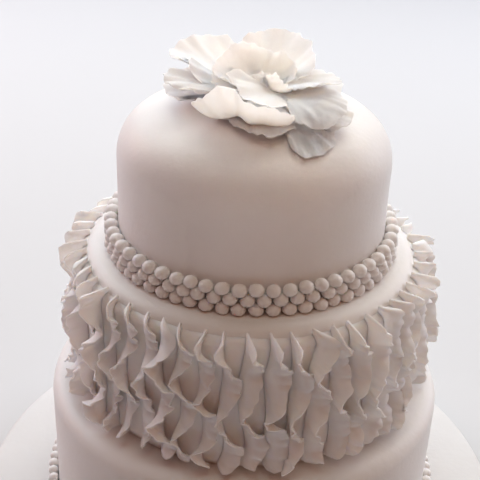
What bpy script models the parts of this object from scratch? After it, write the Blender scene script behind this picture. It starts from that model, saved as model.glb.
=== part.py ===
"""A three-tier wedding cake on its iced drum, with strings of sugar pearls, a band of frills and a sugar flower.

Metres, +Z up. The drum stands on z = 0 and the tiers share the Z axis. Each tier is one uncut solid of cake
under its sugar paste, and it stands a hair's breadth above what carries it.
"""

import math
import random

import bmesh
import bpy
from mathutils import Vector

TAU = 2 * math.pi
GAP = 0.0003  # what any two pieces keep between them

# Iced drum
DRUM_RADIUS = 0.182
DRUM_THICKNESS = 0.012
DRUM_EDGE = 0.003

# Tiers: radius, height and the radius of the soft shoulder, from the bottom up. The top tier is domed: its
# upper surface rises from the shoulder, at this slope in degrees, to level at the middle.
BOTTOM_RADIUS, BOTTOM_HEIGHT, BOTTOM_SHOULDER = 0.130, 0.097, 0.009
MIDDLE_RADIUS, MIDDLE_HEIGHT, MIDDLE_SHOULDER = 0.105, 0.098, 0.008
TOP_RADIUS, TOP_HEIGHT, TOP_SHOULDER = 0.084, 0.099, 0.028
TOP_SLOPE = 21

BOTTOM_BASE = DRUM_THICKNESS + GAP
MIDDLE_BASE = BOTTOM_BASE + BOTTOM_HEIGHT + GAP
TOP_BASE = MIDDLE_BASE + MIDDLE_HEIGHT + GAP
CAKE_TOP = TOP_BASE + TOP_HEIGHT

DOME_RADIUS = (TOP_RADIUS - TOP_SHOULDER) / math.sin(math.radians(TOP_SLOPE)) + TOP_SHOULDER  # of its curve
DOME_EDGE = DOME_RADIUS * math.sin(math.radians(TOP_SLOPE))  # distance from the axis where the dome ends
DOME_CENTRE = CAKE_TOP - DOME_RADIUS  # height of the centre of its curve
SHOULDER_CENTRE = DOME_CENTRE + (DOME_RADIUS - TOP_SHOULDER) * math.cos(math.radians(TOP_SLOPE))

# Pearls round the top tier: three rows of round beads, each nested in the row below
TOP_PEARLS = 58
TOP_PEARL_DEPTH = 0.0090
TOP_PEARL_HEIGHT = 0.0059
TOP_PEARL_PITCH = 0.0063

# Pearls round the bottom tier: smaller beads, also three rows
BASE_PEARLS = 110
BASE_PEARL_DEPTH = 0.0072
BASE_PEARL_HEIGHT = 0.0050
BASE_PEARL_PITCH = 0.0054

PEARL_NECK = 0.16  # thickness where two beads join, as a share of the bead
PEARL_ROWS = ("low", "middle", "high")

# Frills round the middle tier: strips set on edge, whose free edges swing from side to side
FRILLS = 50
FRILL_ROOT = MIDDLE_RADIUS + GAP
FRILL_VALLEY = 0.1085
FRILL_TIP = 0.1185
FRILL_TOP_TIP = 0.1140  # the frills are a little narrower where they start
FRILL_TIP_CHANGE = 0.0032
FRILL_TIP_WIDTH = 0.24  # as a share of the space between two frills
FRILL_SWING = 0.46  # also as a share of that space
FRILL_WAVE = 0.041  # height of one swing to and fro
FRILL_WANDER = 1.5  # how far, in radians, a frill's swing may run ahead of its neighbour's
FRILL_LEVELS = 8
FRILL_TOP = MIDDLE_BASE + MIDDLE_HEIGHT - 0.0012
FRILL_BOTTOM = MIDDLE_BASE + 0.0055
FRILL_UNEVEN = 0.0022

# Sugar flower. Directions are in degrees from +X towards +Y, so the front of the cake is at -90.
FLOWER_AXIS = Vector((0.002, -0.012))
HEART_RADIUS = 0.0050
PETAL_THICKNESS = 0.0012
PETAL_ROOT = 0.0062  # distance from the flower's axis at which every petal starts
PETAL_ROUNDNESS = 0.20
PETAL_CLEARANCE = 0.0016  # keeps a flat facet of a petal off the rounded shoulder of the cake
PETAL_COLUMNS = 5
PETAL_STEPS = 3
PETAL_PATH = 24
# Rings from the outside in: the height at which its petals leave the heart, and for each petal its name,
# direction, spread to each side, length, slope at root and tip, curl, depth of its ruffle and number of waves.
# A petal with a curl of 1 bends evenly along its length, and one with a higher curl bends near its tip.
PETAL_RINGS = (
    (
        0.0016,
        (
            ("front", -94, 23, 0.043, (4, -16), 1.0, 0.0008, 2.0),
            ("front_right", -56, 13, 0.060, (4, -42), 1.0, 0.0010, 1.5),
            ("right", -21, 21, 0.055, (4, -12), 1.0, 0.0010, 2.5),
            ("back_right", 32, 29, 0.045, (2, 8), 1.0, 0.0008, 2.0),
            ("back", 94, 32, 0.044, (2, 10), 1.0, 0.0010, 2.0),
            ("left", 165, 24, 0.052, (2, 0), 1.0, 0.0010, 2.0),
        ),
    ),
    (
        0.0038,
        (
            ("left", 167, 23, 0.051, (10, 12), 1.0, 0.0012, 2.5),
            ("back_left", 118, 26, 0.047, (8, 12), 1.0, 0.0012, 2.0),
            ("back_right", 56, 31, 0.041, (8, 11), 1.0, 0.0012, 2.5),
            ("right", -25, 38, 0.050, (32, -26), 1.0, 0.0010, 2.5),
        ),
    ),
    (
        0.0060,
        (
            ("back_left", 139, 34, 0.055, (17, 21), 1.0, 0.0014, 2.5),
            ("back", 68, 38, 0.044, (30, 40), 1.0, 0.0014, 3.0),
            ("right", -12, 34, 0.036, (44, 14), 1.0, 0.0008, 2.0),
            ("front_left", -111, 40, 0.060, (-4, 108), 3.0, 0.0010, 2.0),
        ),
    ),
    (
        0.0082,
        (
            ("back", 84, 74, 0.028, (34, 74), 1.0, 0.0010, 3.0),
            ("left", 184, 24, 0.031, (28, 54), 1.0, 0.0008, 2.0),
            ("front", -98, 36, 0.031, (44, -24), 1.0, 0.0006, 2.0),
        ),
    ),
    (
        0.0104,
        (
            ("front", -94, 66, 0.019, (30, 84), 1.0, 0.0004, 2.0),
        ),
    ),
)

SUGAR_PASTE = ("sugar_paste", (0.88, 0.84, 0.81), 0.55)
PEARL_PASTE = ("pearl_paste", (0.90, 0.86, 0.83), 0.40)
FLOWER_PASTE = ("flower_paste", (0.93, 0.90, 0.86), 0.60)


def clear_scene():
    for obj in list(bpy.data.objects):
        bpy.data.objects.remove(obj)


def material(finish):
    name, colour, roughness = finish
    paste = bpy.data.materials.get(name) or bpy.data.materials.new(name)
    paste.use_nodes = True
    shader = paste.node_tree.nodes["Principled BSDF"]
    shader.inputs["Base Color"].default_value = (*colour, 1)
    shader.inputs["Roughness"].default_value = roughness
    shader.inputs["Metallic"].default_value = 0
    paste.diffuse_color = (*colour, 1)
    return paste


def add_object(name, bm, finish, smooth_angle):
    bmesh.ops.recalc_face_normals(bm, faces=bm.faces)
    mesh = bpy.data.meshes.new(name)
    bm.to_mesh(mesh)
    bm.free()
    mesh.shade_smooth()
    mesh.set_sharp_from_angle(angle=math.radians(smooth_angle))
    mesh.materials.append(material(finish))
    obj = bpy.data.objects.new(name, mesh)
    bpy.context.collection.objects.link(obj)
    return obj


def polar(radius, angle, height):
    return Vector((radius * math.cos(angle), radius * math.sin(angle), height))


def turned(name, profile, segments, finish):
    """A solid turned round the Z axis. The profile starts and ends on the axis."""
    bm = bmesh.new()
    points = [bm.verts.new((radius, 0, height)) for radius, height in profile]
    edges = [bm.edges.new(pair) for pair in zip(points, points[1:])]
    bmesh.ops.spin(
        bm,
        geom=points + edges,
        cent=(0, 0, 0),
        axis=(0, 0, 1),
        angle=TAU,
        steps=segments,
        use_merge=True,
    )
    bmesh.ops.remove_doubles(bm, verts=bm.verts, dist=1e-6)
    return add_object(name, bm, finish, 40)


def arc(centre_radius, centre_height, radius, start, end, steps):
    """Points of a rounded edge, from the start angle to the end angle in degrees above the horizontal."""
    points = []
    for step in range(steps + 1):
        angle = math.radians(start + (end - start) * step / steps)
        points.append((centre_radius + radius * math.cos(angle), centre_height + radius * math.sin(angle)))
    return points


def drum():
    top_edge = arc(DRUM_RADIUS - DRUM_EDGE, DRUM_THICKNESS - DRUM_EDGE, DRUM_EDGE, 0, 90, 2)
    profile = [(0, 0), (DRUM_RADIUS, 0), *top_edge, (0, DRUM_THICKNESS)]
    return turned("cake_drum", profile, 48, SUGAR_PASTE)


def tier(name, radius, height, shoulder, base, segments, shoulder_steps):
    edge = arc(radius - shoulder, base + height - shoulder, shoulder, 0, 90, shoulder_steps)
    profile = [(0, base), (radius, base), *edge, (0, base + height)]
    return turned(name, profile, segments, SUGAR_PASTE)


def domed_tier():
    """The top tier. Its shoulder and its dome are two arcs that meet without a corner."""
    edge = arc(TOP_RADIUS - TOP_SHOULDER, SHOULDER_CENTRE, TOP_SHOULDER, 0, 90 - TOP_SLOPE, 4)
    dome = arc(0, DOME_CENTRE, DOME_RADIUS, 90 - TOP_SLOPE, 90, 3)
    profile = [(0, TOP_BASE), (TOP_RADIUS, TOP_BASE), *edge, *dome[1:-1], (0, CAKE_TOP)]
    return turned("tier_top", profile, 40, SUGAR_PASTE)


def pearl_row(name, wall, height, count, depth, tall, turn):
    """One moulded string of round beads. Each bead is widest at its middle and thin where it joins the next."""
    middle = wall + GAP + depth / 2
    bm = bmesh.new()
    beads, necks = [], []
    for i in range(count):
        angle = turn + TAU * i / count
        beads.append(
            [
                bm.verts.new(polar(middle + depth / 2, angle, height)),
                bm.verts.new(polar(middle, angle, height + tall / 2)),
                bm.verts.new(polar(middle - depth / 2, angle, height)),
                bm.verts.new(polar(middle, angle, height - tall / 2)),
            ]
        )
        neck = angle + TAU / count / 2
        necks.append(
            [
                bm.verts.new(polar(middle, neck, height + tall * PEARL_NECK)),
                bm.verts.new(polar(middle + depth * PEARL_NECK, neck, height - tall * PEARL_NECK / 2)),
                bm.verts.new(polar(middle - depth * PEARL_NECK, neck, height - tall * PEARL_NECK / 2)),
            ]
        )
    for i in range(count):
        for outer, top, inner, bottom in (beads[i], beads[(i + 1) % count]):
            neck_top, neck_out, neck_in = necks[i]
            bm.faces.new((outer, top, neck_top))
            bm.faces.new((outer, neck_top, neck_out))
            bm.faces.new((inner, neck_top, top))
            bm.faces.new((inner, neck_in, neck_top))
            bm.faces.new((bottom, outer, neck_out))
            bm.faces.new((bottom, neck_out, neck_in))
            bm.faces.new((bottom, neck_in, inner))
    return add_object(name, bm, PEARL_PASTE, 80)


def backed_pearl_row(name, wall, height, count, depth, tall, turn):
    """A moulded string of beads with a flat back, which lies against the wall of the tier."""
    back = wall + GAP
    bm = bmesh.new()
    beads, necks = [], []
    for i in range(count):
        angle = turn + TAU * i / count
        beads.append(
            [
                bm.verts.new(polar(back + depth, angle, height)),
                bm.verts.new(polar(back + depth * 0.3, angle, height + tall / 2)),
                bm.verts.new(polar(back + depth * 0.3, angle, height - tall / 2)),
            ]
        )
        necks.append(bm.verts.new(polar(back + depth * 0.5, angle + TAU / count / 2, height)))
    for i in range(count):
        outer, top, bottom = beads[i]
        next_outer, next_top, next_bottom = beads[(i + 1) % count]
        neck = necks[i]
        bm.faces.new((outer, top, neck))
        bm.faces.new((bottom, outer, neck))
        bm.faces.new((next_outer, next_top, neck))
        bm.faces.new((next_bottom, next_outer, neck))
        bm.faces.new((top, next_top, neck))
        bm.faces.new((bottom, next_bottom, neck))
        bm.faces.new((top, bottom, next_bottom, next_top))
    return add_object(name, bm, PEARL_PASTE, 80)


def pearl_border(label, wall, base, count, depth, tall, pitch, top_row):
    """Three strings of beads, one on another. Each is turned by half a bead from the one below."""
    for row, place in enumerate(PEARL_ROWS):
        string = top_row if place == "high" else backed_pearl_row
        height = base + GAP + tall / 2 + row * pitch
        string(f"{label}_{place}", wall, height, count, depth, tall, TAU / count * 0.5 * (row % 2))


def frill_ring(level, frills):
    """The outline of the frills at one level: for each frill a valley and the two corners of its blunt edge."""
    share = level / (FRILL_LEVELS - 1)
    drop = share * (FRILL_TOP - FRILL_BOTTOM)
    space = TAU / FRILLS
    ring = []
    for i, frill in enumerate(frills):
        if level == 0:
            tip = FRILL_TOP_TIP
        else:
            swell = math.sin(TAU * drop / frill["swell"] + frill["phase"])
            tip = FRILL_TIP + FRILL_TIP_CHANGE * swell + frill["reach"]
        end = frill["uneven"] * abs(2 * share - 1) ** 3
        height = FRILL_TOP - drop + (end if level else 0)
        swing = FRILL_SWING * math.sin(TAU * drop / FRILL_WAVE + frill["phase"]) * min(1, share * 4)
        valley_angle = space * (i - 0.5)
        tip_angle = space * (i + swing)
        ring.append(
            [
                polar(FRILL_VALLEY, valley_angle, FRILL_TOP - drop),
                polar(tip, tip_angle - space * FRILL_TIP_WIDTH / 2, height),
                polar(tip, tip_angle + space * FRILL_TIP_WIDTH / 2, height),
            ]
        )
    return ring


def frill_band():
    """All the frills as one closed ring out to their uneven outline."""
    chance = random.Random(11)
    steps = [chance.uniform(-1, 1) * FRILL_WANDER for _ in range(FRILLS)]
    drift = sum(steps) / FRILLS
    frills, phase = [], 0.0
    for step in steps:
        phase += step - drift
        frills.append(
            {
                "phase": phase,
                "swell": chance.uniform(0.030, 0.045),
                "reach": chance.uniform(-0.0020, 0.0025),
                "uneven": chance.uniform(-FRILL_UNEVEN, FRILL_UNEVEN),
            }
        )
    bm = bmesh.new()
    rings, roots = [], []
    for level in range(FRILL_LEVELS):
        rings.append([[bm.verts.new(point) for point in frill] for frill in frill_ring(level, frills)])
    for height in (FRILL_TOP, FRILL_BOTTOM):
        roots.append([bm.verts.new(polar(FRILL_ROOT, TAU / FRILLS * (i - 0.5), height)) for i in range(FRILLS)])
    for upper, lower in zip(rings, rings[1:]):
        above = [point for frill in upper for point in frill]
        below = [point for frill in lower for point in frill]
        for i in range(len(above)):
            j = (i + 1) % len(above)
            bm.faces.new((above[i], above[j], below[j], below[i]))
    for ring, root in zip((rings[0], rings[-1]), roots):
        for i in range(FRILLS):
            j = (i + 1) % FRILLS
            bm.faces.new((root[i], *ring[i], ring[j][0], root[j]))
    for i in range(FRILLS):
        j = (i + 1) % FRILLS
        bm.faces.new((roots[0][i], roots[0][j], roots[1][j], roots[1][i]))
    return add_object("frill_band", bm, SUGAR_PASTE, 50)


def cake_surface(radius):
    """Height of the top tier's upper surface at this distance from the axis."""
    if radius <= DOME_EDGE:
        return DOME_CENTRE + math.sqrt(DOME_RADIUS**2 - radius**2)
    across = min(radius - TOP_RADIUS + TOP_SHOULDER, TOP_SHOULDER * 0.999)
    return SHOULDER_CENTRE + math.sqrt(TOP_SHOULDER**2 - across**2)


def petal(name, turn, spread, root, rise, length, slopes, curl, ruffle, waves):
    """One petal: a sector of a bowl that stands on the flower's axis. It points in the direction turn and covers
    the angle spread to each side. It leaves the axis at the distance root and the height rise above the cake,
    and its slope goes from the first of slopes to the second, later if curl is above 1. Angles are in degrees."""
    path = [(root, rise)]
    for step in range(PETAL_PATH):
        slope = math.radians(slopes[0] + (slopes[1] - slopes[0]) * ((step + 0.5) / PETAL_PATH) ** curl)
        distance, height = path[-1]
        path.append(
            (
                distance + length / PETAL_PATH * math.cos(slope),
                height + length / PETAL_PATH * math.sin(slope),
            )
        )
    bm = bmesh.new()
    sides = []
    for face in (0.5, -0.5):
        grid = []
        for step in range(PETAL_STEPS + 1):
            along = step / PETAL_STEPS
            row = []
            for column in range(PETAL_COLUMNS + 1):
                across = 2 * column / PETAL_COLUMNS - 1
                reach = along * (1 - PETAL_ROUNDNESS * abs(across) ** 3)
                lower = min(int(reach * PETAL_PATH), PETAL_PATH - 1)
                part = reach * PETAL_PATH - lower
                distance = path[lower][0] * (1 - part) + path[lower + 1][0] * part
                height = path[lower][1] * (1 - part) + path[lower + 1][1] * part
                slope = math.radians(slopes[0] + (slopes[1] - slopes[0]) * reach**curl)
                shift = face * PETAL_THICKNESS + ruffle * along**2 * math.sin(waves * math.pi * across)
                distance -= shift * math.sin(slope)
                height += shift * math.cos(slope)
                angle = math.radians(turn + across * spread * (0.7 + 0.3 * along))
                place = polar(distance, angle, CAKE_TOP + height) + FLOWER_AXIS.to_3d()
                lowest = cake_surface(math.hypot(place.x, place.y)) + PETAL_CLEARANCE
                place.z = max(place.z, lowest + (face + 0.5) * PETAL_THICKNESS)
                row.append(bm.verts.new(place))
            grid.append(row)
        sides.append(grid)
    rims = []
    for grid in sides:
        for upper, lower in zip(grid, grid[1:]):
            for i in range(PETAL_COLUMNS):
                bm.faces.new((upper[i], upper[i + 1], lower[i + 1], lower[i]))
        right = [row[-1] for row in grid[1:]]
        left = [row[0] for row in grid[1:-1]]
        rims.append(grid[0] + right + grid[-1][-2::-1] + left[::-1])
    for i in range(len(rims[0])):
        j = (i + 1) % len(rims[0])
        bm.faces.new((rims[0][i], rims[0][j], rims[1][j], rims[1][i]))
    return add_object(name, bm, FLOWER_PASTE, 60)


def flower():
    """An open sugar flower. Each ring of petals leaves the heart above the ring outside it."""
    heart = turned(
        "flower_heart",
        [(0, 0), (HEART_RADIUS, 0), (HEART_RADIUS, 0.004), (0.0042, 0.010), (0.0028, 0.016), (0, 0.0185)],
        8,
        FLOWER_PASTE,
    )
    heart.location = (*FLOWER_AXIS, cake_surface(FLOWER_AXIS.length - HEART_RADIUS) + GAP)
    for ring, (rise, petals) in enumerate(PETAL_RINGS, 1):
        for label, turn, spread, length, slopes, curl, ruffle, waves in petals:
            petal(f"petal_{ring}_{label}", turn, spread, PETAL_ROOT, rise, length, slopes, curl, ruffle, waves)


def main():
    clear_scene()
    drum()
    tier("tier_bottom", BOTTOM_RADIUS, BOTTOM_HEIGHT, BOTTOM_SHOULDER, BOTTOM_BASE, 44, 2)
    tier("tier_middle", MIDDLE_RADIUS, MIDDLE_HEIGHT, MIDDLE_SHOULDER, MIDDLE_BASE, 44, 2)
    domed_tier()
    pearl_border(
        "top_pearls",
        TOP_RADIUS,
        TOP_BASE,
        TOP_PEARLS,
        TOP_PEARL_DEPTH,
        TOP_PEARL_HEIGHT,
        TOP_PEARL_PITCH,
        pearl_row,
    )
    pearl_border(
        "base_pearls",
        BOTTOM_RADIUS,
        BOTTOM_BASE,
        BASE_PEARLS,
        BASE_PEARL_DEPTH,
        BASE_PEARL_HEIGHT,
        BASE_PEARL_PITCH,
        backed_pearl_row,
    )
    frill_band()
    flower()


main()
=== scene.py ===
import math
import random

import bmesh
import bpy
from mathutils import Matrix, Vector, noise


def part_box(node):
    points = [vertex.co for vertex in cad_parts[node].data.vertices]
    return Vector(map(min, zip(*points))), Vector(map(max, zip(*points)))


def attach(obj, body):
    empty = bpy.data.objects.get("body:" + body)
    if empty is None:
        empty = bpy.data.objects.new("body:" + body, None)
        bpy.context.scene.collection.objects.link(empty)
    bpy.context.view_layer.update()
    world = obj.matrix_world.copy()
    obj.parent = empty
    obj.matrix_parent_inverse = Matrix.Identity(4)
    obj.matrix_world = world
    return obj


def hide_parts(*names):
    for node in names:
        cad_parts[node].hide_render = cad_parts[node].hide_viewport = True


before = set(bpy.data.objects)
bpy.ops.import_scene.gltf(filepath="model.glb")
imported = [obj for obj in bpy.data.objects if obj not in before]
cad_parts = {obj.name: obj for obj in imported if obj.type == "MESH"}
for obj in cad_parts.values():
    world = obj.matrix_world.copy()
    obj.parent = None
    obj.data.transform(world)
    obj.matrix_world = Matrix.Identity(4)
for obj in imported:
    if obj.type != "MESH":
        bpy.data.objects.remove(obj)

TAU = 2 * math.pi
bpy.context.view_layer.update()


# ---------------------------------------------------------------------------------------------
# Camera, floor and light. The cake stands on a plain pale floor, with wide soft lights behind it
# and only weak, warm light in front, so its rims shine and its front is in soft shade.
# ---------------------------------------------------------------------------------------------

CAMERA_PLACE = Vector((0, -0.5875, 0.5359))
CAMERA_PITCH, CAMERA_YAW, CAMERA_ROLL = 0.511, -0.0115, 0.0395  # radians
CAMERA_LENS, CAMERA_SENSOR = 78.75, 36  # millimetres
CAMERA_NEAR = 0.02
FLOOR_SIZE = 9.0
FLOOR_GAP = 0.0005  # below the drum, so that the two faces don't coincide
FLOOR_ROUGHNESS = 0.7
FLOOR_COLOUR = (0.60, 0.60, 0.605)
WALL_COLOUR = (0.50, 0.50, 0.51)


def aim(place, pitch, yaw, roll):
    """Matrix of a camera at place that looks along +Y, turned by yaw, tipped down by pitch and then rolled."""
    forward = Vector((math.sin(yaw) * math.cos(pitch), math.cos(yaw) * math.cos(pitch), -math.sin(pitch)))
    level = Vector((math.cos(yaw), -math.sin(yaw), 0))
    upright = level.cross(forward)
    right = level * math.cos(roll) + upright * math.sin(roll)
    up = upright * math.cos(roll) - level * math.sin(roll)
    turned = Matrix((right, up, -forward)).transposed().to_4x4()
    return Matrix.Translation(place) @ turned


bpy.ops.object.select_all(action="DESELECT")
bpy.ops.object.camera_add()
camera = bpy.context.object
camera.matrix_world = aim(CAMERA_PLACE, CAMERA_PITCH, CAMERA_YAW, CAMERA_ROLL)
camera.data.lens = CAMERA_LENS
camera.data.sensor_width = CAMERA_SENSOR
camera.data.clip_start = CAMERA_NEAR
bpy.context.scene.camera = camera
bpy.context.scene.view_settings.view_transform = "Standard"

bpy.ops.object.select_all(action="DESELECT")
bpy.ops.mesh.primitive_plane_add(size=FLOOR_SIZE, location=(0, 0, -FLOOR_GAP))
floor = bpy.context.object
floor.name = "floor"
floor_paint = bpy.data.materials.new("pale_floor")
floor_paint.use_nodes = True
floor_shader = floor_paint.node_tree.nodes["Principled BSDF"]
floor_shader.inputs["Base Color"].default_value = (*FLOOR_COLOUR, 1)
floor_shader.inputs["Roughness"].default_value = FLOOR_ROUGHNESS
floor.data.materials.append(floor_paint)


def area_light(name, place, target, size, power, colour, spread=180):
    """A soft rectangular light aimed at target, with its power in watts and its spread in degrees."""
    bpy.ops.object.select_all(action="DESELECT")
    bpy.ops.object.light_add(type="AREA", location=place)
    lamp = bpy.context.object
    lamp.name = name
    lamp.rotation_euler = (Vector(target) - Vector(place)).to_track_quat("-Z", "Y").to_euler()
    lamp.data.shape = "RECTANGLE"
    lamp.data.size, lamp.data.size_y = size
    lamp.data.energy = power
    lamp.data.color = colour
    lamp.data.spread = math.radians(spread)


MIDDLE_OF_CAKE = (0, 0, 0.2)
MIDDLE_OF_FLOWER = (0, -0.03, 0.33)
FLOOR_IN_FRONT = (0, -3.9, 0)
area_light("window", (0, 1.7, 1.0), MIDDLE_OF_CAKE, (3.2, 0.8), 17.7, (0.71, 0.83, 1.0))
area_light("window_top", (0.2, 1.0, 1.6), MIDDLE_OF_CAKE, (2.0, 1.0), 24, (1.0, 0.985, 0.92))
area_light("window_left", (-1.7, 1.0, 0.8), MIDDLE_OF_CAKE, (1.2, 1.2), 15.4, (1.0, 0.70, 0.69))
area_light("window_right", (1.7, 1.0, 0.8), MIDDLE_OF_CAKE, (1.2, 1.2), 18.0, (0.80, 0.87, 1.0))
area_light("window_far_left", (-1.2, 1.0, 1.4), MIDDLE_OF_CAKE, (1.2, 0.8), 9.8, (0.62, 0.89, 1.0))
area_light("ceiling", (0, -0.45, 1.7), MIDDLE_OF_CAKE, (1.2, 0.6), 3.0, (0.72, 1.0, 0.95))
area_light("room_lamp", (0, -1.0, 1.5), MIDDLE_OF_CAKE, (1.6, 1.0), 3.3, (1.0, 0.50, 0.36))
area_light("flower_lamp", (0, -1.1, 1.3), MIDDLE_OF_FLOWER, (0.10, 0.10), 0.013, (1.0, 0.93, 0.86), 9)
# turned away from the cake: it only keeps the floor in front of it as pale as the floor behind it
area_light("far_floor", (0, -2.3, 1.7), FLOOR_IN_FRONT, (5.0, 1.0), 42, (1.0, 0.98, 0.96))

world = bpy.data.worlds.new("room")
bpy.context.scene.world = world
world.use_nodes = True
room = world.node_tree
room_direction = room.nodes.new("ShaderNodeTexCoord")
room_light = None
# each glow: where it comes from, and its colour and strength in one
ROOM_GLOWS = (
    ((0.981, 0, 0.196), (0.272, 0.116, 0.038)),
    ((-0.981, 0, 0.196), (0.077, 0.0, 0.0)),
)
for source, glow in ROOM_GLOWS:
    facing = room.nodes.new("ShaderNodeVectorMath")
    facing.operation = "DOT_PRODUCT"
    facing.inputs[1].default_value = source
    share = room.nodes.new("ShaderNodeClamp")
    tinted = room.nodes.new("ShaderNodeVectorMath")
    tinted.operation = "SCALE"
    tinted.inputs[0].default_value = glow
    room.links.new(room_direction.outputs["Generated"], facing.inputs[0])
    room.links.new(facing.outputs["Value"], share.inputs["Value"])
    room.links.new(share.outputs["Result"], tinted.inputs["Scale"])
    if room_light is None:
        room_light = tinted.outputs["Vector"]
    else:
        both = room.nodes.new("ShaderNodeVectorMath")
        both.operation = "ADD"
        room.links.new(room_light, both.inputs[0])
        room.links.new(tinted.outputs["Vector"], both.inputs[1])
        room_light = both.outputs["Vector"]
room.links.new(room_light, room.nodes["Background"].inputs["Color"])
# past the far edge of the floor a plain pale wall is seen, which lights nothing
wall = room.nodes.new("ShaderNodeBackground")
wall.inputs["Color"].default_value = (*WALL_COLOUR, 1)
seen_directly = room.nodes.new("ShaderNodeLightPath")
wall_or_glow = room.nodes.new("ShaderNodeMixShader")
room.links.new(seen_directly.outputs["Is Camera Ray"], wall_or_glow.inputs["Fac"])
room.links.new(room.nodes["Background"].outputs["Background"], wall_or_glow.inputs[1])
room.links.new(wall.outputs["Background"], wall_or_glow.inputs[2])
room.links.new(wall_or_glow.outputs["Shader"], room.nodes["World Output"].inputs["Surface"])


# ---------------------------------------------------------------------------------------------
# Iced drum. A round board under a thin sheet of white sugar paste, rolled out, laid over the
# board and smoothed by hand, so that its edge is soft and its face is never quite flat.
# ---------------------------------------------------------------------------------------------

DRUM_SEGMENTS = 160
DRUM_SOFT_EDGE, DRUM_EDGE_STEPS = 0.0035, 5
DRUM_TOP_RINGS = 9
DRUM_UNEVEN, DRUM_PATCH = 0.0005, 0.06
PASTE_COLOUR = (0.88, 0.865, 0.85)
PASTE_SHADE = (0.84, 0.82, 0.80)
DRUM_COLOUR = (0.70, 0.69, 0.68)
DRUM_SHADE = (0.66, 0.645, 0.635)


def choose(obj):
    """Makes obj the one selected and active object."""
    bpy.ops.object.select_all(action="DESELECT")
    obj.select_set(True)
    bpy.context.view_layer.objects.active = obj


def edit(obj, kind):
    """Goes into edit mode on obj alone, with nothing selected."""
    choose(obj)
    bpy.ops.object.mode_set(mode="EDIT")
    bpy.ops.mesh.select_mode(type=kind)
    bpy.ops.mesh.select_all(action="DESELECT")


def pick(obj, kind, wanted):
    """Selects the vertices, edges or faces of obj, in edit mode, for which wanted is true."""
    bm = bmesh.from_edit_mesh(obj.data)
    bm.normal_update()
    for item in {"VERT": bm.verts, "EDGE": bm.edges, "FACE": bm.faces}[kind]:
        item.select_set(wanted(item))
    bm.select_flush_mode()
    bmesh.update_edit_mesh(obj.data)


def apply_modifiers(obj):
    """Makes the object's modifiers part of its mesh."""
    choose(obj)
    for modifier in list(obj.modifiers):
        bpy.ops.object.modifier_apply(modifier=modifier.name)


def place_in_mesh(obj):
    """Moves the object's place into its mesh, so that the object itself sits at the origin."""
    choose(obj)
    bpy.ops.object.transform_apply(location=True, rotation=True, scale=True)


def uneven(obj, depth, size, held=None):
    """Hand-smoothed paste: lifts and sinks the surface by up to half of depth, in patches of about size."""
    patches = bpy.data.textures.new(f"{obj.name}_patches", type="CLOUDS")
    patches.noise_scale = size
    patches.noise_depth = 1
    press = obj.modifiers.new("hand_smoothed", "DISPLACE")
    press.texture = patches
    press.texture_coords = "LOCAL"
    press.strength = depth
    press.mid_level = 0.5
    if held:
        press.vertex_group = held
    apply_modifiers(obj)


def sugar(name, colour, shade, roughness, see_through, grain, grain_depth):
    """Sugar paste: a little light passes into it, and its colour, gloss and skin vary slightly.

    see_through is the share of light that passes in, grain how fine the skin's noise is, grain_depth its height.
    """
    paste = bpy.data.materials.new(name)
    paste.use_nodes = True
    tree = paste.node_tree
    shader = tree.nodes["Principled BSDF"]
    shader.inputs["Subsurface Weight"].default_value = see_through
    shader.inputs["Subsurface Radius"].default_value = (1.0, 0.82, 0.66)
    shader.inputs["Subsurface Scale"].default_value = 0.004
    shader.inputs["Specular IOR Level"].default_value = 0.35
    place = tree.nodes.new("ShaderNodeTexCoord")
    mottle = tree.nodes.new("ShaderNodeTexNoise")
    mottle.inputs["Scale"].default_value = 16
    mottle.inputs["Detail"].default_value = 3
    tint = tree.nodes.new("ShaderNodeValToRGB")
    tint.color_ramp.elements[0].position = 0.30
    tint.color_ramp.elements[0].color = (*shade, 1)
    tint.color_ramp.elements[1].position = 0.62
    tint.color_ramp.elements[1].color = (*colour, 1)
    gloss = tree.nodes.new("ShaderNodeMapRange")
    gloss.inputs["To Min"].default_value = roughness - 0.06
    gloss.inputs["To Max"].default_value = roughness + 0.08
    skin = tree.nodes.new("ShaderNodeTexNoise")
    skin.inputs["Scale"].default_value = grain
    skin.inputs["Detail"].default_value = 4
    bump = tree.nodes.new("ShaderNodeBump")
    bump.inputs["Strength"].default_value = 0.35
    bump.inputs["Distance"].default_value = grain_depth
    tree.links.new(place.outputs["Object"], mottle.inputs["Vector"])
    tree.links.new(place.outputs["Object"], skin.inputs["Vector"])
    tree.links.new(mottle.outputs["Fac"], tint.inputs["Fac"])
    tree.links.new(tint.outputs["Color"], shader.inputs["Base Color"])
    tree.links.new(mottle.outputs["Fac"], gloss.inputs["Value"])
    tree.links.new(gloss.outputs["Result"], shader.inputs["Roughness"])
    tree.links.new(skin.outputs["Fac"], bump.inputs["Height"])
    tree.links.new(bump.outputs["Normal"], shader.inputs["Normal"])
    return paste


sugar_paste = sugar("sugar_paste", PASTE_COLOUR, PASTE_SHADE, 0.46, 0.12, 260, 0.0006)
drum_paste = sugar("drum_paste", DRUM_COLOUR, DRUM_SHADE, 0.5, 0.10, 260, 0.0006)

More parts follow.
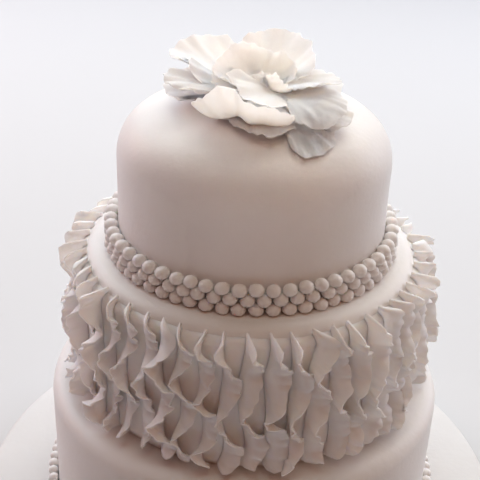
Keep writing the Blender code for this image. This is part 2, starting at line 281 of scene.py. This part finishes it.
drum_low, drum_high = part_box("cake_drum")
drum_radius = (drum_high.x - drum_low.x) / 2 - DRUM_UNEVEN
drum_depth = drum_high.z - drum_low.z - DRUM_UNEVEN / 2
bpy.ops.object.select_all(action="DESELECT")
bpy.ops.mesh.primitive_cylinder_add(
    vertices=DRUM_SEGMENTS, radius=drum_radius, depth=drum_depth, location=(0, 0, drum_depth / 2)
)
drum = bpy.context.object
drum.name = "iced_drum"
place_in_mesh(drum)
edit(drum, "EDGE")
pick(drum, "EDGE", lambda edge: all(v.co.z > drum_depth * 0.9 for v in edge.verts))
bpy.ops.mesh.bevel(offset=DRUM_SOFT_EDGE, segments=DRUM_EDGE_STEPS, profile=0.5, affect="EDGES")
bpy.ops.mesh.select_mode(type="FACE")
pick(drum, "FACE", lambda face: len(face.verts) > 4 and face.normal.z > 0.9)
for ring in range(DRUM_TOP_RINGS):
    bpy.ops.mesh.inset(thickness=drum_radius / (DRUM_TOP_RINGS + 2))
bpy.ops.mesh.poke()
bpy.ops.object.mode_set(mode="OBJECT")
drum_top = drum.vertex_groups.new(name="iced")
drum_top.add([v.index for v in drum.data.vertices if v.co.z > drum_depth * 0.5], 1, "REPLACE")
uneven(drum, DRUM_UNEVEN, DRUM_PATCH, "iced")
bpy.ops.object.shade_smooth_by_angle(angle=math.radians(50))
drum.data.materials.append(drum_paste)
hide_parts("cake_drum")
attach(drum, "root")


# ---------------------------------------------------------------------------------------------
# Three round tiers. Each is a filled cake under one sheet of white sugar paste, laid over the top
# and stroked down the side, so that the top edge is a soft shoulder. The top tier is a low dome.
# ---------------------------------------------------------------------------------------------

TIER_SEGMENTS = 176
WALL_ROWS, SHOULDER_ROWS, TOP_ROWS = 15, 12, 9
FOOT_EDGE = 0.0015
SEAM_MERGE = 0.000002  # closes the seam and the two poles of a spun shape
TOP_SHOULDER, TOP_SLOPE = 0.028, 21  # the dome slopes so many degrees where it meets its shoulder


def arc(centre_radius, centre_height, radius, start, end, rows):
    """Points of a rounded edge, from the start angle to the end angle in degrees above the horizontal."""
    angles = [math.radians(start + (end - start) * row / rows) for row in range(rows + 1)]
    return [(centre_radius + radius * math.cos(a), centre_height + radius * math.sin(a)) for a in angles]


def tier_outline(low, high, radius, shoulder, slope):
    """Half of a tier's outline, from the middle of its foot round to the middle of its top."""
    if slope:
        lean = math.radians(slope)
        dome = (radius - shoulder) / math.sin(lean) + shoulder
        shoulder_height = high - dome + (dome - shoulder) * math.cos(lean)
        top = arc(0, high - dome, dome, 90 - slope, 90, TOP_ROWS)
    else:
        shoulder_height = high - shoulder
        top = [((radius - shoulder) * (1 - row / TOP_ROWS), high) for row in range(TOP_ROWS + 1)]
    foot = arc(radius - FOOT_EDGE, low + FOOT_EDGE, FOOT_EDGE, -90, 0, 2)
    wall = [(radius, foot[-1][1] + (shoulder_height - foot[-1][1]) * row / WALL_ROWS) for row in range(1, WALL_ROWS)]
    edge = arc(radius - shoulder, shoulder_height, shoulder, 0, 90 - slope, SHOULDER_ROWS)
    return [(0, low), *foot, *wall, *edge, *top[1:-1], (0, high)]


def spin_outline(name, outline):
    """Draws the outline point by point from the axis, and spins it."""
    bpy.ops.object.select_all(action="DESELECT")
    bpy.ops.mesh.primitive_plane_add(size=0.01)
    spun = bpy.context.object
    spun.name = name
    bpy.ops.object.mode_set(mode="EDIT")
    bpy.ops.mesh.select_mode(type="VERT")
    bpy.ops.mesh.select_all(action="SELECT")
    bpy.ops.mesh.merge(type="CENTER")
    bpy.ops.transform.translate(value=(0, 0, outline[0][1]))
    for (radius, height), (next_radius, next_height) in zip(outline, outline[1:]):
        step = (next_radius - radius, 0, next_height - height)
        bpy.ops.mesh.extrude_region_move(TRANSFORM_OT_translate={"value": step})
    bpy.ops.mesh.select_all(action="SELECT")
    bpy.ops.mesh.spin(steps=TIER_SEGMENTS, angle=TAU, center=(0, 0, 0), axis=(0, 0, 1))
    bpy.ops.mesh.select_all(action="SELECT")
    bpy.ops.mesh.remove_doubles(threshold=SEAM_MERGE)
    bpy.ops.mesh.normals_make_consistent(inside=False)
    bpy.ops.object.mode_set(mode="OBJECT")
    return spun


def covered_tier(name, node, shoulder, slope, depth, size):
    """A round cake under its paste, which is uneven by depth in patches of about size."""
    low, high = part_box(node)
    tier = spin_outline(name, tier_outline(low.z, high.z, (high.x - low.x) / 2, shoulder, slope))
    uneven(tier, depth, size)
    bpy.ops.object.shade_smooth_by_angle(angle=math.radians(50))
    tier.data.materials.append(sugar_paste)
    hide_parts(node)
    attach(tier, "root")


covered_tier("tier_bottom_paste", "tier_bottom", 0.009, 0, 0.0010, 0.07)
covered_tier("tier_middle_paste", "tier_middle", 0.008, 0, 0.0006, 0.06)
covered_tier("tier_top_paste", "tier_top", TOP_SHOULDER, TOP_SLOPE, 0.0008, 0.06)


# ---------------------------------------------------------------------------------------------
# Pearl borders. Balls of sugar paste pressed in a pearl mould, three rows round the foot of the
# top tier and three smaller ones round the foot of the bottom tier, stuck on while still soft.
# ---------------------------------------------------------------------------------------------

TOP_PEARLS, BASE_PEARLS = 58, 110  # in each row
PEARL_SIDES, PEARL_RINGS = 10, 7
PEARL_COLOUR = (0.89, 0.875, 0.86)
PEARL_SHADE = (0.85, 0.83, 0.81)

pearl_paste = sugar("pearl_paste", PEARL_COLOUR, PEARL_SHADE, 0.36, 0.15, 500, 0.0003)
chance = random.Random(7)


def pearl_border(label, count, wide, tall, first_turn):
    """One row of beads, of this width and height, in the place of the CAD node of that name."""
    low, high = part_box(label)
    radius = (high.x - low.x) / 2 - wide / 2
    height = (low.z + high.z) / 2
    bpy.ops.object.select_all(action="DESELECT")
    bpy.ops.mesh.primitive_uv_sphere_add(segments=PEARL_SIDES, ring_count=PEARL_RINGS, radius=0.5)
    bead = bpy.context.object
    bead.name = f"{label}_beads"
    shape = bead.data.copy()
    joined = bmesh.new()
    for i in range(count):
        angle = first_turn + TAU * (i + chance.uniform(-0.07, 0.07)) / count
        girth = wide * chance.uniform(0.94, 1.03)
        turn = Matrix.Rotation(angle, 4, "Z")
        pressed_in = radius + chance.uniform(-0.0004, 0.0002)
        place = Matrix.Translation((pressed_in, 0, height + chance.uniform(-0.0003, 0.0003)))
        tilt = Matrix.Rotation(chance.uniform(-0.25, 0.25), 4, "X")
        grow = Matrix.Diagonal((girth, girth, tall * chance.uniform(0.96, 1.06), 1))
        one = shape.copy()
        one.transform(turn @ place @ tilt @ grow)
        joined.from_mesh(one)
        bpy.data.meshes.remove(one)
    joined.to_mesh(bead.data)
    joined.free()
    bpy.data.meshes.remove(shape)
    bpy.ops.object.shade_smooth()
    bead.data.materials.append(pearl_paste)
    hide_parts(label)
    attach(bead, "root")


for row, place in enumerate(("low", "middle", "high")):
    half_turned = 0.5 * (row % 2)  # the middle row sits in the gaps of the other two
    pearl_border(f"top_pearls_{place}", TOP_PEARLS, 0.0094, 0.0074, TAU / TOP_PEARLS * half_turned)
    pearl_border(f"base_pearls_{place}", BASE_PEARLS, 0.0075, 0.0064, TAU / BASE_PEARLS * half_turned)


# ---------------------------------------------------------------------------------------------
# Frills. Some fifty upright strips of sugar paste, each thinned and stretched along one edge until
# it waves, and stuck on by the other edge, where their folded feet are pressed together into one
# smooth band. They stand out from the middle tier and flop sideways over each other.
# ---------------------------------------------------------------------------------------------

FRILLS = 54
FRILL_ROWS, FRILL_COLUMNS = 76, 7
FRILL_ROOT_RADIUS = 0.1042
FRILL_CORE_RADIUS = 0.1085  # of the folded feet of the strips, pressed together on the tier
FRILL_REACH = 0.0182  # from root to lip, measured over the strip
FRILL_BEND = 1.2  # radians that a strip turns over between its root and its lip, where it leans most
FRILL_WANDER = 0.0045  # how far the foot of a strip strays to either side
FRILL_FINISH = 0.08  # share of a strip's length over which it narrows at its foot end
FRILL_SAG = 0.0022  # how far the lip hangs below the root
FRILL_THICK, FRILL_LIP = 0.0017, 0.58  # at the root, and the share of it left at the lip
FRILL_TOP_GAP, FRILL_FOOT_GAP = 0.0004, 0.0005  # between the ends of the strips and the ends of the band
FEET_TOP_GAP, FEET_FOOT_GAP = 0.0035, 0.002  # the same for the folded feet
FEET_EDGE = 0.006
FEET_UNEVEN, FEET_PATCH = 0.0016, 0.02
FRILL_OUT_OF_STEP = 2.4  # radians that a strip's waves are ahead of or behind its neighbour's, at most

frill_low, frill_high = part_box("frill_band")
frill_chance = random.Random(23)
frill_paste = sugar("frill_paste", (0.93, 0.91, 0.895), (0.91, 0.885, 0.87), 0.5, 0.70, 300, 0.0005)


def wave(phase, scallop):
    """Goes to and fro between -1 and 1. With more scallop, one side has round lobes and the other sharp cusps."""
    return (1 - scallop) * math.sin(phase) + scallop * (2 * abs(math.sin(phase / 2 + math.pi / 4)) - 1)


def crinkle(seed, along, across=0.0):
    """Smooth uneven numbers, mostly between -0.5 and 0.5."""
    return noise.noise(Vector((seed, along, across)))


def frill_strip(turn, strip):
    """Places the vertices of one strip, row by row from its top end and column by column from its root."""
    top = frill_high.z - FRILL_TOP_GAP
    tall = top - frill_low.z - FRILL_FOOT_GAP + strip["drop"]
    seed = strip["seed"]
    points = []
    for row in range(FRILL_ROWS + 1):
        # the strip narrows in a round corner at its top end, and a little at its foot end
        down = row / FRILL_ROWS
        start = min(1.0, down / strip["start"])
        finish = min(1.0, (1 - down) / FRILL_FINISH)
        ends = math.sqrt(1 - (1 - start) ** 2) * (0.55 + 0.45 * math.sqrt(1 - (1 - finish) ** 2))
        # it swings to and fro on its way down, with a ragged lip that flutters besides
        phase = strip["phase"] + TAU * tall * down / strip["length"] + 1.2 * crinkle(seed, down * 3.5, 3)
        swell = 0.85 + 0.35 * crinkle(seed, down * 5.0)
        ragged = 1 + 0.16 * crinkle(seed, down * 7.0, 5) + 0.12 * crinkle(seed, down * 24.0, 11)
        reach = FRILL_REACH * strip["reach"] * ends * ragged
        lean = strip["lean"] + FRILL_BEND * swell * wave(phase, strip["scallop"]) * min(1, 0.7 + down * 10)
        flutter = 1.00 * crinkle(seed, down * 11.0, 9) + 0.80 * crinkle(seed, down * 27.0, 7)
        root = turn + FRILL_WANDER / FRILL_ROOT_RADIUS * crinkle(seed, down * 3.2, 13)
        # it bends over more and more from its root to its lip
        out, side = 0.0, 0.0
        for column in range(FRILL_COLUMNS + 1):
            share = column / FRILL_COLUMNS
            angle = root + side / (FRILL_ROOT_RADIUS + out)
            height = top - tall * down - FRILL_SAG * share**2 * finish * start
            from_axis = FRILL_ROOT_RADIUS + out
            points.append(Vector((from_axis * math.cos(angle), from_axis * math.sin(angle), height)))
            bend = lean * (share + 0.5 / FRILL_COLUMNS) + flutter * share**2
            out += reach / FRILL_COLUMNS * math.cos(bend)
            side += reach / FRILL_COLUMNS * math.sin(bend)
    return points


feet_low, feet_high = frill_low.z + FEET_FOOT_GAP, frill_high.z - FEET_TOP_GAP
frill_core = spin_outline("frill_feet", tier_outline(feet_low, feet_high, FRILL_CORE_RADIUS, FEET_EDGE, 0))
uneven(frill_core, FEET_UNEVEN, FEET_PATCH)
frill_phase = 0.0
frill_steps = [frill_chance.uniform(-FRILL_OUT_OF_STEP, FRILL_OUT_OF_STEP) for _ in range(FRILLS)]
frill_drift = sum(frill_steps) / FRILLS
frill_pieces = [frill_core]
for i in range(FRILLS):
    frill_phase += frill_steps[i] - frill_drift
    frill_turn = TAU * (i + 0.5 + frill_chance.uniform(-0.12, 0.12)) / FRILLS
    strip = {
        "phase": frill_phase,
        "scallop": frill_chance.uniform(0.15, 0.65),
        "length": frill_chance.uniform(0.036, 0.058),
        "reach": frill_chance.uniform(0.84, 1.10),
        "lean": frill_chance.uniform(0.5, 1.1),
        "start": frill_chance.uniform(0.025, 0.055),
        "drop": frill_chance.uniform(-0.003, 0.001),
        "seed": frill_chance.uniform(0, 50),
    }
    bpy.ops.object.select_all(action="DESELECT")
    bpy.ops.mesh.primitive_grid_add(x_subdivisions=FRILL_COLUMNS, y_subdivisions=FRILL_ROWS, size=1)
    blade = bpy.context.object
    blade.name = f"frill_{i:02d}"
    order = sorted(blade.data.vertices, key=lambda v: (-round(v.co.y, 4), v.co.x))
    thin = blade.vertex_groups.new(name="thin")
    for n, (vertex, point) in enumerate(zip(order, frill_strip(frill_turn, strip))):
        vertex.co = point
        thin.add([vertex.index], 1 - (1 - FRILL_LIP) * (n % (FRILL_COLUMNS + 1)) / FRILL_COLUMNS, "REPLACE")
    thicken = blade.modifiers.new("paste_thickness", "SOLIDIFY")
    thicken.thickness = FRILL_THICK
    thicken.offset = 0
    thicken.vertex_group = "thin"
    apply_modifiers(blade)
    frill_pieces.append(blade)
bpy.ops.object.select_all(action="DESELECT")
for blade in frill_pieces:
    blade.select_set(True)
bpy.context.view_layer.objects.active = frill_pieces[0]
bpy.ops.object.join()
frills = bpy.context.object
frills.name = "frills"
edit(frills, "VERT")
bpy.ops.mesh.select_all(action="SELECT")
bpy.ops.mesh.normals_make_consistent(inside=False)
bpy.ops.object.mode_set(mode="OBJECT")
bpy.ops.object.shade_smooth_by_angle(angle=math.radians(60))
frills.data.materials.append(frill_paste)
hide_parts("frill_band")
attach(frills, "root")


# ---------------------------------------------------------------------------------------------
# Sugar flower. Thin petals of flower paste, each cut out, ruffled along its edge with a ball
# tool, dried over a former in its own curve and stuck to a small cone at the centre.
# ---------------------------------------------------------------------------------------------

top_low, top_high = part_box("tier_top")
CAKE_TOP = top_high.z
TOP_RADIUS = (top_high.x - top_low.x) / 2
DOME = (TOP_RADIUS - TOP_SHOULDER) / math.sin(math.radians(TOP_SLOPE)) + TOP_SHOULDER
SHOULDER_HEIGHT = CAKE_TOP - DOME + (DOME - TOP_SHOULDER) * math.cos(math.radians(TOP_SLOPE))
heart_low, heart_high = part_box("flower_heart")
FLOWER_FOOT = Vector(((heart_low.x + heart_high.x) / 2, (heart_low.y + heart_high.y) / 2, CAKE_TOP))
MM = 0.001
PETAL_LIFT = 0.0011  # keeps a petal off the cake under it
PETAL_COLUMNS, PETAL_ROWS = 60, 16
PETAL_THICK, PETAL_RIM = 0.0013, 0.40  # at the heart, and the share of it left at the rim
PETAL_FLUTTER, PETAL_FRAY = 2.8, 2.0  # millimetres: depth of the waves for a ruffle of 1, and of the ragged rim
PETAL_START = 0.08  # share of the way from where a petal is stuck to its rim at which its paste starts
RIM_STEPS = 12  # of the smooth curve between two corners of a rim
# Millimetres from the flower's foot on the cake. name: where the petal is stuck, how far its middle bellies
# out, depth of the ruffle, and its rim, from one side round the tip to the other
PETALS = {
    "petal_1_front": (
        (0, -7, 1.6),
        (0, 0, 1),
        0.7,
        ((-12, -16, 1.6), (-21, -26, 1), (-16.4, -34, 0), (-7.7, -42, -1), (1.2, -47, -2), (8.3, -47, -2),
         (16, -40, -1), (20, -31, 0), (12, -18, 1.6)),
    ),
    "petal_1_front_right": (
        (7, -11, 1.6),
        (1, -1, 5),
        0.7,
        ((12, -22, 0), (15.2, -33, -3.6), (17, -42, -6.8), (19.6, -48.8, -9.4), (24.1, -51.6, -11),
         (29.1, -50.4, -11.6), (35.2, -46, -11), (40.6, -40, -10), (42, -31, -7), (27, -18, -1)),
    ),
    "petal_1_right": (
        (8, -5, 1.8),
        (0, 0, 3),
        0.9,
        ((20, 2, 2), (34, 6, 2), (47, -1.2, 0.8), (52.8, -10, 0), (53.5, -16.5, -0.6), (50, -25, -2), (40, -31, -3),
         (24, -22, 0.6)),
    ),
    "petal_1_back_right": (
        (7, 4, 1.8),
        (0, 0, 2),
        1.0,
        ((17, -1, 2), (33, 1, 2.4), (45, 9, 3), (49, 20, 3.6), (45, 31, 4.4), (36, 39, 4), (25, 41, 3.6),
         (14, 30, 3), (7, 14, 2)),
    ),
    "petal_1_back": (
        (0, 7, 1.8),
        (0, 0, 2),
        1.0,
        ((11, 16, 2), (21, 31, 3), (22, 43, 4.4), (12, 50, 5), (0, 50, 5.4), (-12, 51, 5), (-24, 45, 4.6),
         (-27, 33, 3.4), (-14, 17, 2)),
    ),
    "petal_1_left": (
        (-7, 0, 1.8),
        (0, 0, 2),
        0.8,
        ((-15, 11, 2), (-30, 22, 3), (-45, 25, 3.4), (-54.5, 20, 3.2), (-57.6, 11, 2.8), (-55.4, 2, 2.4),
         (-50.5, -7.5, 2), (-46.8, -10.4, 1.8), (-43.8, -3.5, 2.4), (-37.2, -8, 2), (-24, -11, 1.8),
         (-13, -6, 1.8)),
    ),
    "petal_2_left": (
        (-6, 0, 4.2),
        (0, 0, 2),
        1.2,
        ((-14, 9, 7), (-30, 18, 11), (-43.7, 16.8, 12.4), (-54, 10.5, 13.6), (-56, 1, 13), (-54.2, -9.5, 11.6),
         (-47, -12.6, 10), (-33, -11, 8), (-16, -7, 5)),
    ),
    "petal_2_back_left": (
        (-4, 5, 4.2),
        (0, 0, -1),
        1.2,
        ((2, 15, 6), (4, 31, 9), (-4, 45, 11), (-16, 51, 11.6), (-28, 48, 11), (-40, 41, 10), (-44, 30, 9),
         (-31, 18, 7), (-14, 8, 5)),
    ),
    "petal_2_back_right": (
        (5, 5, 4.2),
        (0, 0, -2),
        1.2,
        ((15, 3, 5), (30, 8, 6.6), (39, 16, 7.8), (40, 25, 8.6), (33, 34, 9.2), (24, 40, 9.6), (15, 41, 9.8),
         (6, 32, 8.6), (2, 15, 6)),
    ),
    "petal_2_right": (
        (8, -6, 5),
        (1, -1, 11),
        1.1,
        ((22, 0, 7.4), (35, -1, 8.6), (44.5, -3, 9.6), (48, -10, 8), (48.8, -20, 5), (45, -29, 3.2), (39, -37, 1.4),
         (30.7, -38.6, 1.2), (24.1, -37, 1.4), (19.6, -32, 2.4), (14, -18, 5)),
    ),
    "petal_3_back_left": (
        (-5, 4, 7),
        (-2, 3, -5),
        1.3,
        ((-15, -6, 8), (-28, -6, 10), (-38, -1, 13), (-43.4, 7, 18), (-43.4, 15.6, 19.6), (-50.6, 10.4, 21.6),
         (-53.6, 18, 23), (-50, 31, 23.8), (-44.8, 38.1, 24.1), (-34.4, 46, 24.1), (-28.7, 45.8, 22.6),
         (-21.4, 46.3, 21.2), (-12, 38, 17), (-5, 20, 11)),
    ),
    "petal_3_back": (
        (2, 6, 7),
        (1, 5, -6),
        1.2,
        ((-8, 14, 13), (-15.4, 25, 21.4), (-12.6, 33.4, 25.9), (-8, 38, 29), (1, 41, 30), (7, 41.4, 30.8),
         (12.9, 41, 31.4), (20.2, 37, 30.6), (27.9, 27, 28.2), (30.8, 15, 24.2), (30.2, 5, 19.6), (24, 2, 14),
         (13, 4, 9)),
    ),
    "petal_3_right": (
        (8, 0, 7.4),
        (1, 0, 4),
        0.8,
        ((13, 9, 11), (20.7, 11, 14.6), (27, 13.4, 15.9), (33.6, 13.6, 16.8), (40.5, 9, 16.2), (44.8, 2.4, 14.4),
         (45.6, -5, 14.4), (38, -12, 15.4), (30, -15, 15.6), (22, -15, 14.6), (13, -10, 11)),
    ),
    "petal_3_front_left": (
        (-3, -5, 6.4),
        (-1, -19, -23),
        0.9,
        ((-20, -9, 3.4), (-34, -20, 3.6), (-38, -27, 8.2), (-31.4, -33, 13.6), (-26.6, -38, 20.8),
         (-22.3, -40, 23.4), (-16.3, -41, 22.8), (-11, -42, 18.8), (-5.6, -42.4, 15.2), (6.4, -42, 13),
         (15.4, -40, 8.4), (20.2, -33, 3.4), (11, -17, 4)),
    ),
    "petal_4_back": (
        (-1, 4, 9),
        (0, 8, -10),
        1.0,
        ((-14, -7, 11), (-27, -7, 17), (-26.8, -2, 20.4), (-26, 3.4, 23), (-20.7, 10, 27), (-15.7, 16, 29),
         (-8.2, 20, 28.6), (0.8, 20.4, 25.4), (7, 18, 25), (13.2, 15, 24.1), (19.8, 8, 20.4), (21, 1, 15.4),
         (11, -2, 11)),
    ),
    "petal_4_left": (
        (-5, -1, 9),
        (-2, 0, -3),
        0.7,
        ((-10, 7, 13), (-20, 9, 18), (-27.2, 6, 18), (-28.4, -1, 15.4), (-26, -8.6, 12), (-18, -10.6, 10.4),
         (-9, -7, 9.4)),
    ),
    "petal_4_front": (
        (7, -6, 8.6),
        (1, -3, 2),
        0.7,
        ((12, -5, 12.4), (8, -4.4, 16), (2.5, -4, 18.4), (-8.3, -6, 17.6), (-16.6, -8.6, 21), (-19, -14, 20),
         (-15.4, -20, 18), (-10.6, -28, 13.8), (-4.1, -33, 11.6), (6.5, -33.6, 10.2), (14.5, -27, 7.6),
         (15, -14, 8)),
    ),
    "petal_5_front": (
        (3, -4, 10.6),
        (1, -4, -3),
        0.5,
        ((-2, -6, 15), (3.7, -6.6, 18.4), (7.6, -8.4, 20.4), (12, -11, 17), (16.4, -12.4, 14.4), (20, -11.6, 12.4),
         (19, -7, 10.6), (11, -4, 10)),
    ),
}

flower_paste = sugar("flower_paste", (0.97, 0.94, 0.90), (0.955, 0.915, 0.87), 0.55, 0.90, 400, 0.0004)
flower_paste.node_tree.nodes["Principled BSDF"].inputs["Subsurface Scale"].default_value = 0.006


def cake_surface(radius):
    """Height of the top tier's upper surface at this distance from the tiers' axis."""
    if radius <= DOME * math.sin(math.radians(TOP_SLOPE)):
        return CAKE_TOP - DOME + math.sqrt(DOME**2 - radius**2)
    across = min(radius - TOP_RADIUS + TOP_SHOULDER, TOP_SHOULDER * 0.999)
    return SHOULDER_HEIGHT + math.sqrt(TOP_SHOULDER**2 - across**2)


def smooth_rim(corners, count):
    """Points evenly spaced along a smooth curve through the corners."""
    fine = []
    for k in range(len(corners) - 1):
        before, here = corners[max(k - 1, 0)], corners[k]
        there, after = corners[k + 1], corners[min(k + 2, len(corners) - 1)]
        for step in range(RIM_STEPS):
            t = step / RIM_STEPS
            fine.append(
                (
                    here * 2
                    + (there - before) * t
                    + (before * 2 - here * 5 + there * 4 - after) * t**2
                    + (here * 3 - before - there * 3 + after) * t**3
                )
                / 2
            )
    fine.append(corners[-1])
    reached = [0.0]
    for one, two in zip(fine, fine[1:]):
        reached.append(reached[-1] + (two - one).length)
    points, k = [], 0
    for i in range(count + 1):
        wanted = reached[-1] * i / count
        while k < len(fine) - 2 and reached[k + 1] < wanted:
            k += 1
        share = (wanted - reached[k]) / max(reached[k + 1] - reached[k], 1e-9)
        points.append(fine[k].lerp(fine[k + 1], min(share, 1.0)))
    return points


def petal_points(foot, belly, ruffle, rim, seed):
    """Rows of points from where the petal is stuck to its rim."""
    foot, belly = Vector(foot), Vector(belly)
    edge = smooth_rim([Vector(corner) for corner in rim], PETAL_COLUMNS)
    rows = []
    for row in range(PETAL_ROWS + 1):
        along = PETAL_START + (1 - PETAL_START) * row / PETAL_ROWS
        line = []
        for column, tip in enumerate(edge):
            around = column / PETAL_COLUMNS
            fullness = 0.4 + 0.6 * math.sin(math.pi * around)
            middle = (foot + tip) / 2 + belly * fullness
            point = foot * (1 - along) ** 2 + middle * 2 * along * (1 - along) + tip * along**2
            neighbour = edge[min(column + 1, PETAL_COLUMNS)] - edge[max(column - 1, 0)]
            lift = (tip - middle).cross(neighbour)
            lift = lift.normalized() if lift.length > 1e-6 else Vector((0, 0, 1))
            flutter = noise.noise(Vector((around * 9.0, along * 1.5, seed * 3.7)))
            flutter += 0.7 * noise.noise(Vector((around * 23.0, along * 2.5, seed * 5.9)))
            fray = noise.noise(Vector((around * 28.0, seed * 7.3, 1))) * (tip - middle).normalized()
            point += lift * ruffle * PETAL_FLUTTER * flutter * along**3 + fray * PETAL_FRAY * along**6
            line.append(point)
        rows.append(line)
    placed = []
    for line in rows:
        for point in line:
            place = FLOWER_FOOT + point * MM
            place.z = max(place.z, cake_surface(math.hypot(place.x, place.y)) + PETAL_LIFT)
            placed.append(place)
    return placed


for seed, (name, (foot, belly, ruffle, rim)) in enumerate(PETALS.items(), 1):
    bpy.ops.object.select_all(action="DESELECT")
    bpy.ops.mesh.primitive_grid_add(x_subdivisions=PETAL_COLUMNS, y_subdivisions=PETAL_ROWS, size=1)
    petal = bpy.context.object
    petal.name = f"{name}_ruffled"
    order = sorted(petal.data.vertices, key=lambda v: (round(v.co.y, 4), v.co.x))
    thin = petal.vertex_groups.new(name="thin")
    for n, (vertex, point) in enumerate(zip(order, petal_points(foot, belly, ruffle, rim, seed))):
        vertex.co = point
        thin.add([vertex.index], 1 - (1 - PETAL_RIM) * (n // (PETAL_COLUMNS + 1)) / PETAL_ROWS, "REPLACE")
    thicken = petal.modifiers.new("paste_thickness", "SOLIDIFY")
    thicken.thickness = PETAL_THICK
    thicken.offset = 0
    thicken.vertex_group = "thin"
    apply_modifiers(petal)
    edit(petal, "VERT")
    bpy.ops.mesh.select_all(action="SELECT")
    bpy.ops.mesh.normals_make_consistent(inside=False)
    bpy.ops.object.mode_set(mode="OBJECT")
    bpy.ops.object.shade_smooth_by_angle(angle=math.radians(60))
    petal.data.materials.append(flower_paste)
    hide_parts(name)
    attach(petal, "root")

# the cone in the middle stays as it is and takes on the petals' paste
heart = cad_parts["flower_heart"]
heart.data.materials.clear()
heart.data.materials.append(flower_paste)
